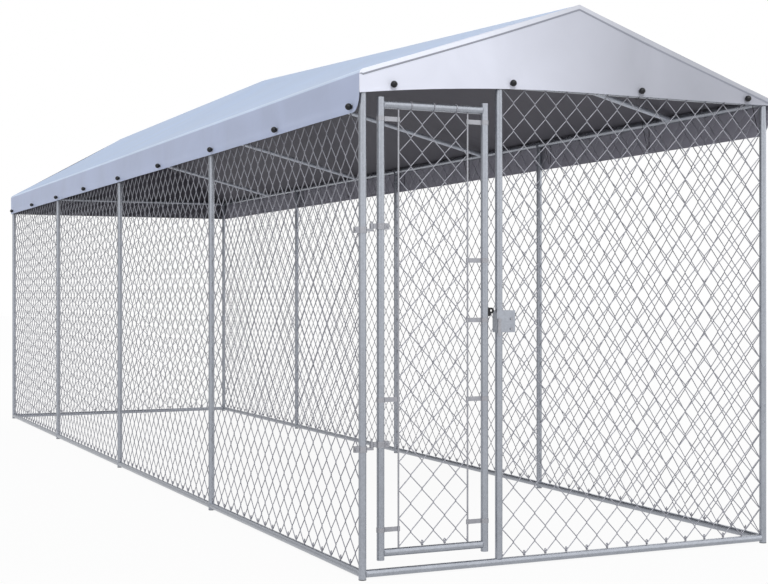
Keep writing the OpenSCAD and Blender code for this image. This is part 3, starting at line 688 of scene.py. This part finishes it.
def sheet_from_grid(name, columns, rows, place):
    """A grid whose points are moved to where place(column, row) puts them."""
    bpy.ops.object.select_all(action="DESELECT")
    bpy.ops.mesh.primitive_grid_add(x_subdivisions=columns - 1, y_subdivisions=rows - 1, size=2)
    obj = bpy.context.view_layer.objects.active
    obj.name = obj.data.name = name
    for vertex in obj.data.vertices:
        column = round((vertex.co.x + 1) / 2 * (columns - 1))
        row = round((vertex.co.y + 1) / 2 * (rows - 1))
        vertex.co = place(column, row)
    obj.data.update()
    return obj


def turn_outwards(obj, outwards):
    """Turns a sheet's faces round where its middle one points inwards."""
    faces = obj.data.polygons
    if faces[len(faces) // 2].normal.dot(Vector(outwards)) < 0:
        obj.data.flip_normals()


def thicken(obj, lining):
    """Gives a sheet its thickness on the inner side, with finishes that lie further down the list there."""
    wall = obj.modifiers.new("thickness", "SOLIDIFY")
    wall.thickness = CLOTH_T
    wall.offset = -1
    wall.material_offset = lining
    apply_modifiers(obj)
    smooth(obj, 50)


class KENNEL_OT_roof_sheet(bpy.types.Operator):
    """Hangs the roof sheet with its valances and rake hems"""

    bl_idname = "kennel.roof_sheet"
    bl_label = "Hang the roof sheet"

    def execute(self, context):
        size = sizes()
        stations = self.stations()
        sections = []
        for y, lip in stations:
            ridge = ridge_z(max(-HALF_L, y))
            sections.append([half_section(ridge, SHEET_T, valance_hem(y, right)) for right in (False, True)])
        crest = len(sections[0][0]) - 1
        places = side_toggles()

        def place(column, row):
            y, lip = stations[row]
            right = column > crest
            k = 2 * crest - column if right else column
            x, z, nx, nz = sections[row][right][k]
            out = 0.0
            if SLOPE_START <= k <= CREST_START:
                sag = size.sag * math.sin(math.pi * (k - SLOPE_START) / SLOPE_POINTS)
                out = -sag * (0.6 + 0.4 * math.sin(y * 2 * math.pi / BAY) ** 2)
            if k < HANG_POINTS:
                out += size.ripple * (1 - k / HANG_POINTS) * swell(y, places)
            if k < HEM_POINTS:
                out += HEM_T
            drop = min(1.0, max(0.0, (k - HANG_POINTS) / (BEND_POINTS - 1)))
            x, z = x + nx * out, z + nz * out - lip * drop * size.hem
            return Vector((-x if right else x, y, z))

        sheet = sheet_from_grid("roof_sheet", 2 * crest + 1, len(stations), place)
        self.finish_outside(sheet, 2 * crest, len(stations) - 1)
        self.weld(sheet)
        turn_outwards(sheet, (0, 0, 1))
        thicken(sheet, REAR_RAKE + 1)
        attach(sheet, "frame")
        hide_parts("roof_canopy")
        return {"FINISHED"}

    def stations(self):
        """Places along the run, each with its share of the lip's depth."""
        start = -END_Y + CORNER_R
        places = [(-END_Y - LIP_OUT, share) for share in LIP_SHARES]
        places += [(-END_Y + CORNER_R * (i / CORNER_STEPS) ** 2, 0.0) for i in range(CORNER_STEPS)]
        places += [(start + (END_Y - start) * i / RUN_STEPS, 0.0) for i in range(RUN_STEPS + 1)]
        places += [(END_Y + LIP_OUT, share) for share in reversed(LIP_SHARES)]
        return places

    def finish_outside(self, sheet, columns, rows):
        """Gives every face its outer finish, with the finishes of the inner side after those."""
        colour = colours()
        paint(sheet,
              # The roof colour's light blue is a painted reflection of the sky.
              finish("roof_tarpaulin", tarpaulin, tuple(colour.roof), "X"),
              finish("valance_tarpaulin", tarpaulin, tuple(colour.valance), "Z"),
              # The front rake hem's tone falls off from left to right as painted shade.
              finish("rake_hem", tarpaulin, tuple(colour.hem), "X", SHEET_ROUGH, True),
              # Painted shadow along the lower edge of the rake lips.
              finish("rake_seam", tarpaulin, tuple(colour.seam), "X"),
              # Painted highlight along the bend over the eaves.
              finish("eave_fold", tarpaulin, tuple(colour.fold), "X"),
              finish("rear_rake_hem", tarpaulin, tuple(colour.gable), "X"),
              underside(),
              # The valances' inner side, with the inside of the eave bend and lips, is the underside's
              # colour made three times paler: painted light in their shade.
              finish("valance_lining", tarpaulin, scaled(tuple(colour.under), 3.0), "Z", LINING_ROUGH))
        for face in sheet.data.polygons:
            at = face.center
            # The lowest row of each lip gets the painted shadow.
            if face.index // columns in (0, rows - 1):
                face.material_index = HEM_SHADOW
            elif abs(at.y) > END_Y:
                face.material_index = FRONT_RAKE if at.y < 0 else REAR_RAKE
            elif at.z < RAIL_Z + VALANCE_UP:
                face.material_index = SIDE
            # Faces on the bend over the eaves get the painted highlight.
            elif abs(at.x) > HALF_W - HIGHLIGHT_REACH:
                face.material_index = EAVE_HIGHLIGHT
            else:
                face.material_index = TOP

    def weld(self, sheet):
        """Merges the lips' rows where they meet below the eaves."""
        only(sheet)
        bpy.ops.object.mode_set(mode="EDIT")
        bpy.ops.mesh.select_all(action="SELECT")
        bpy.ops.mesh.remove_doubles(threshold=WELD)
        bpy.ops.mesh.normals_make_consistent(inside=False)
        bpy.ops.object.mode_set(mode="OBJECT")


class KENNEL_OT_gable_panels(bpy.types.Operator):
    """Hangs the two gable panels"""

    bl_idname = "kennel.gable_panels"
    bl_label = "Hang the gable panels"

    def execute(self, context):
        self.hang("front_gable", "front_gable_panel", "front_top_rail", -1, front_toggles())
        self.hang("rear_gable", "rear_gable_panel", "rear_top_rail", 1, rear_toggles())
        return {"FINISHED"}

    def hang(self, name, node, rail, way, places):
        """Hangs one panel inside the roof sheet's end, at the front with way -1 and at the rear with 1."""
        size = sizes()
        ridge = ridge_z(way * HALF_L)
        half = [point[:2] for point in half_section(ridge, -PANEL_GAP, VALANCE_Z)[HANG_POINTS:]]
        top = half + [(-x, z) for x, z in half[-2::-1]]

        def place(column, row):
            x, z = top[column]
            share = PANEL_ROWS[row]
            hem = VALANCE_Z if way > 0 else front_hem(x)
            puff = size.ripple * (1 - share) * swell(x, places)
            if row < HEM_POINTS:
                puff += PANEL_HEM_T
            return Vector((x, way * (END_Y + min(puff, PANEL_PUFF)), hem + (z - hem) * share))

        panel = sheet_from_grid(name, len(top), len(PANEL_ROWS), place)
        # The front panel's tone falls off from left to right as painted shade; the rear one has none.
        cloth = finish(name, tarpaulin, tuple(colours().gable), "Z", SHEET_ROUGH, way < 0)
        paint(panel, cloth, underside())
        turn_outwards(panel, (0, way, 0))
        thicken(panel, 1)
        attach(panel, "frame")
        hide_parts(node)


class KENNEL_OT_toggles(bpy.types.Operator):
    """Makes the ball toggles and their elastic loops"""

    bl_idname = "kennel.toggles"
    bl_label = "Make the toggles"

    def execute(self, context):
        size = sizes()
        pattern = self.ball(size)
        balls, loops = [], []
        for spot, turn in self.spots():
            balls.append(self.copy_of(pattern, spot, turn))
            loops.append(self.loop(size, spot, turn))
        bpy.data.objects.remove(pattern)
        for name, pieces, node, slot in (("toggle_ball_set", balls, "toggle_balls", "black_plastic"),
                                         ("toggle_elastic_set", loops, "elastic_loops", "elastic")):
            only(*pieces)
            bpy.ops.object.join()
            joined = bpy.context.view_layer.objects.active
            joined.name = joined.data.name = name
            paint(joined, black_finish())
            smooth(joined, 40)
            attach(joined, "frame")
            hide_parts(node)
        return {"FINISHED"}

    def spots(self):
        """Every eyelet's place on the outer side of the sheet, with the turn that points -X outwards."""
        toggle_z = VALANCE_Z + TOGGLE_UP
        end_y = END_Y + TOGGLE_OUT
        spots = []
        for y in side_toggles():
            spots += [((-SIDE_X, y, toggle_z), 0.0), ((SIDE_X, y, toggle_z), math.pi)]
        spots += [((x, -end_y, front_hem(x) + TOGGLE_UP), math.pi / 2) for x in front_toggles()]
        spots += [((x, end_y, toggle_z), -math.pi / 2) for x in rear_toggles()]
        return spots

    def ball(self, size):
        """A ball with the sunk mouth of its bore on the outer side, modelled along X."""
        r = size.ball_d / 2
        bpy.ops.object.select_all(action="DESELECT")
        bpy.ops.mesh.primitive_uv_sphere_add(
            segments=BALL_SEGMENTS, ring_count=BALL_RINGS, radius=r, rotation=(0, math.pi / 2, 0))
        ball = bpy.context.view_layer.objects.active
        bpy.ops.object.transform_apply(location=True, rotation=True, scale=True)
        mouth = -r * math.cos(math.pi / BALL_RINGS)
        bpy.ops.object.mode_set(mode="EDIT")
        bpy.ops.mesh.select_all(action="DESELECT")
        bpy.ops.object.mode_set(mode="OBJECT")
        for face in ball.data.polygons:
            face.select = face.center.x < mouth
        bpy.ops.object.mode_set(mode="EDIT")
        bpy.ops.mesh.select_mode(type="FACE")
        bpy.ops.mesh.inset(thickness=BORE_RIM, depth=0)
        bpy.ops.mesh.extrude_region_move(TRANSFORM_OT_translate={"value": (BORE_DEPTH, 0, 0)})
        bpy.ops.mesh.select_all(action="SELECT")
        bpy.ops.transform.translate(value=(-BALL_GAP - r, 0, 0))
        bpy.ops.object.mode_set(mode="OBJECT")
        return ball

    def copy_of(self, pattern, spot, turn):
        """A copy with its own mesh, set in place."""
        copy = pattern.copy()
        copy.data = pattern.data.copy()
        bpy.context.scene.collection.objects.link(copy)
        set_in_place(copy, spot, turn)
        return copy

    def loop(self, size, spot, turn):
        """An elastic loop round the rail, with a neck through the eyelet to the ball."""
        rail_x, rail_z = EAVE_R + SHEET_T, RAIL_Z - spot[Z]
        rail_r = TUBE_R + LOOP_GAP
        end_x = LOOP_END_R + size.cord_d / 2 + SHEET_T
        aim = math.atan2(rail_z, rail_x - end_x)
        reach = math.acos(min(1.0, (rail_r - LOOP_END_R) / math.hypot(rail_x - end_x, rail_z)))
        points = []
        for i in range(LOOP_END_STEPS + 1):
            a = aim + math.pi - reach + 2 * reach * i / LOOP_END_STEPS
            points.append((end_x + LOOP_END_R * math.cos(a), 0.0, LOOP_END_R * math.sin(a)))
        for i in range(LOOP_RAIL_STEPS + 1):
            a = aim + math.pi + reach + (2 * math.pi - 2 * reach) * i / LOOP_RAIL_STEPS
            points.append((rail_x + rail_r * math.cos(a), 0.0, rail_z + rail_r * math.sin(a)))
        loop = curve_piece("elastic", [points], size.cord_d / 2, cyclic=True)
        set_in_place(loop, spot, turn)
        neck = curve_piece("elastic_neck", [[(x, 0, 0) for x in NECK]], size.cord_d / 2)
        set_in_place(neck, spot, turn)
        only(loop, neck)
        bpy.ops.object.join()
        return loop


def seen_rays(tree):
    """The Light Path node, and 1 for rays from the camera, mirrors and glass, else 0."""
    path = add(tree, "ShaderNodeLightPath")
    seen = path.outputs["Is Camera Ray"]
    for word in ("Glossy", "Transmission"):
        either = add(tree, "ShaderNodeMath", operation="MAXIMUM")
        tree.links.new(seen, either.inputs[0])
        tree.links.new(path.outputs[f"Is {word} Ray"], either.inputs[1])
        seen = either.outputs["Value"]
    return path, seen


def whitened(name, strength):
    """A pale ground that keeps the shadow and is white to the camera and in reflections."""
    material = bpy.data.materials.new(name)
    tree, shader = nodes_of(material)
    shader.inputs["Base Color"].default_value = (0.86, 0.86, 0.87, 1)
    shader.inputs["Roughness"].default_value = 0.9
    glow = add(tree, "ShaderNodeEmission")
    mix = add(tree, "ShaderNodeMixShader")
    tree.links.new(span(tree, seen_rays(tree)[1], 0.0, strength), mix.inputs["Fac"])
    tree.links.new(shader.outputs["BSDF"], mix.inputs[1])
    tree.links.new(glow.outputs["Emission"], mix.inputs[2])
    tree.links.new(mix.outputs["Shader"], tree.nodes["Material Output"].inputs["Surface"])
    return material


class KENNEL_OT_stage(bpy.types.Operator):
    """Sets the floor, the light and the camera"""

    bl_idname = "kennel.stage"
    bl_label = "Set the stage"

    def execute(self, context):
        scene = context.scene
        scene.view_settings.view_transform = "Standard"
        bpy.ops.object.select_all(action="DESELECT")
        bpy.ops.mesh.primitive_plane_add(size=FLOOR_SIZE)
        floor = context.view_layer.objects.active
        floor.name = "floor"
        paint(floor, whitened("pale_floor", FLOOR_WHITE))
        self.light_world(scene)
        for name, strength, aim, width in LAMPS:
            lamp = bpy.data.lights.new(name, "SUN")
            lamp.energy = strength
            lamp.angle = math.radians(width)
            light = bpy.data.objects.new(name, lamp)
            light.rotation_euler = Vector(aim).to_track_quat("-Z", "Y").to_euler()
            scene.collection.objects.link(light)
        lens = bpy.data.cameras.new("photo_camera")
        lens.sensor_fit = "HORIZONTAL"
        lens.sensor_width = SENSOR
        lens.lens = LENS
        lens.shift_y = LENS_SHIFT
        camera = bpy.data.objects.new("photo_camera", lens)
        camera.location = CAMERA_AT
        camera.rotation_euler = (math.pi / 2, 0, math.radians(CAMERA_TURN))
        scene.collection.objects.link(camera)
        scene.camera = camera
        return {"FINISHED"}

    def light_world(self, scene):
        """White daylight all round, which the metal mirrors brighter from one side."""
        world = scene.world or bpy.data.worlds.new("studio")
        scene.world = world
        world.use_nodes = True
        tree = world.node_tree
        tree.nodes.clear()
        path, seen = seen_rays(tree)
        towards = add(tree, "ShaderNodeTexCoord")
        bright_side = add(tree, "ShaderNodeVectorMath", operation="DOT_PRODUCT")
        bright_side.inputs[1].default_value = SHEEN_FROM
        tree.links.new(towards.outputs["Generated"], bright_side.inputs[0])
        sheen = add(tree, "ShaderNodeMapRange", in_From_Min=-1.0, in_From_Max=1.0,
                    in_To_Min=SHEEN[0], in_To_Max=SHEEN[1])
        tree.links.new(bright_side.outputs["Value"], sheen.inputs["Value"])
        mirrored = add(tree, "ShaderNodeMix", data_type="FLOAT")
        tree.links.new(path.outputs["Is Glossy Ray"], mirrored.inputs["Factor"])
        tree.links.new(span(tree, seen, DAYLIGHT, 1.0), mirrored.inputs["A"])
        tree.links.new(sheen.outputs["Result"], mirrored.inputs["B"])
        sky = add(tree, "ShaderNodeBackground", in_Color=(1, 1, 1, 1))
        tree.links.new(mirrored.outputs["Result"], sky.inputs["Strength"])
        out = add(tree, "ShaderNodeOutputWorld")
        tree.links.new(sky.outputs["Background"], out.inputs["Surface"])


class KENNEL_PT_panel(bpy.types.Panel):
    """Lists the sizes, the colours and the steps that dress the run"""

    bl_idname = "KENNEL_PT_panel"
    bl_label = "Kennel run"
    bl_space_type = "VIEW_3D"
    bl_region_type = "UI"
    bl_category = "Kennel"

    def draw(self, context):
        for group in (context.scene.kennel_sizes, context.scene.kennel_colours):
            for name in group.__annotations__:
                self.layout.prop(group, name)
        for step in STEPS:
            self.layout.operator(step.bl_idname)


STEPS = (KENNEL_OT_finish_frame, KENNEL_OT_wall_nets, KENNEL_OT_gate_net, KENNEL_OT_roof_sheet,
         KENNEL_OT_gable_panels, KENNEL_OT_toggles, KENNEL_OT_stage)
CLASSES = (KennelSizes, KennelColours) + STEPS + (KENNEL_PT_panel,)


def register():
    """Registers the classes and hangs the sizes and colours on the scene."""
    for cls in CLASSES:
        bpy.utils.register_class(cls)
    bpy.types.Scene.kennel_sizes = bpy.props.PointerProperty(type=KennelSizes)
    bpy.types.Scene.kennel_colours = bpy.props.PointerProperty(type=KennelColours)


def unregister():
    """Takes all of that away again."""
    del bpy.types.Scene.kennel_colours
    del bpy.types.Scene.kennel_sizes
    for cls in reversed(CLASSES):
        bpy.utils.unregister_class(cls)


def main():
    """Dresses the run step by step."""
    register()
    bpy.ops.kennel.finish_frame()
    bpy.ops.kennel.wall_nets()
    bpy.ops.kennel.gate_net()
    bpy.ops.kennel.roof_sheet()
    bpy.ops.kennel.gable_panels()
    bpy.ops.kennel.toggles()
    bpy.ops.kennel.stage()


if __name__ == "__main__":
    main()
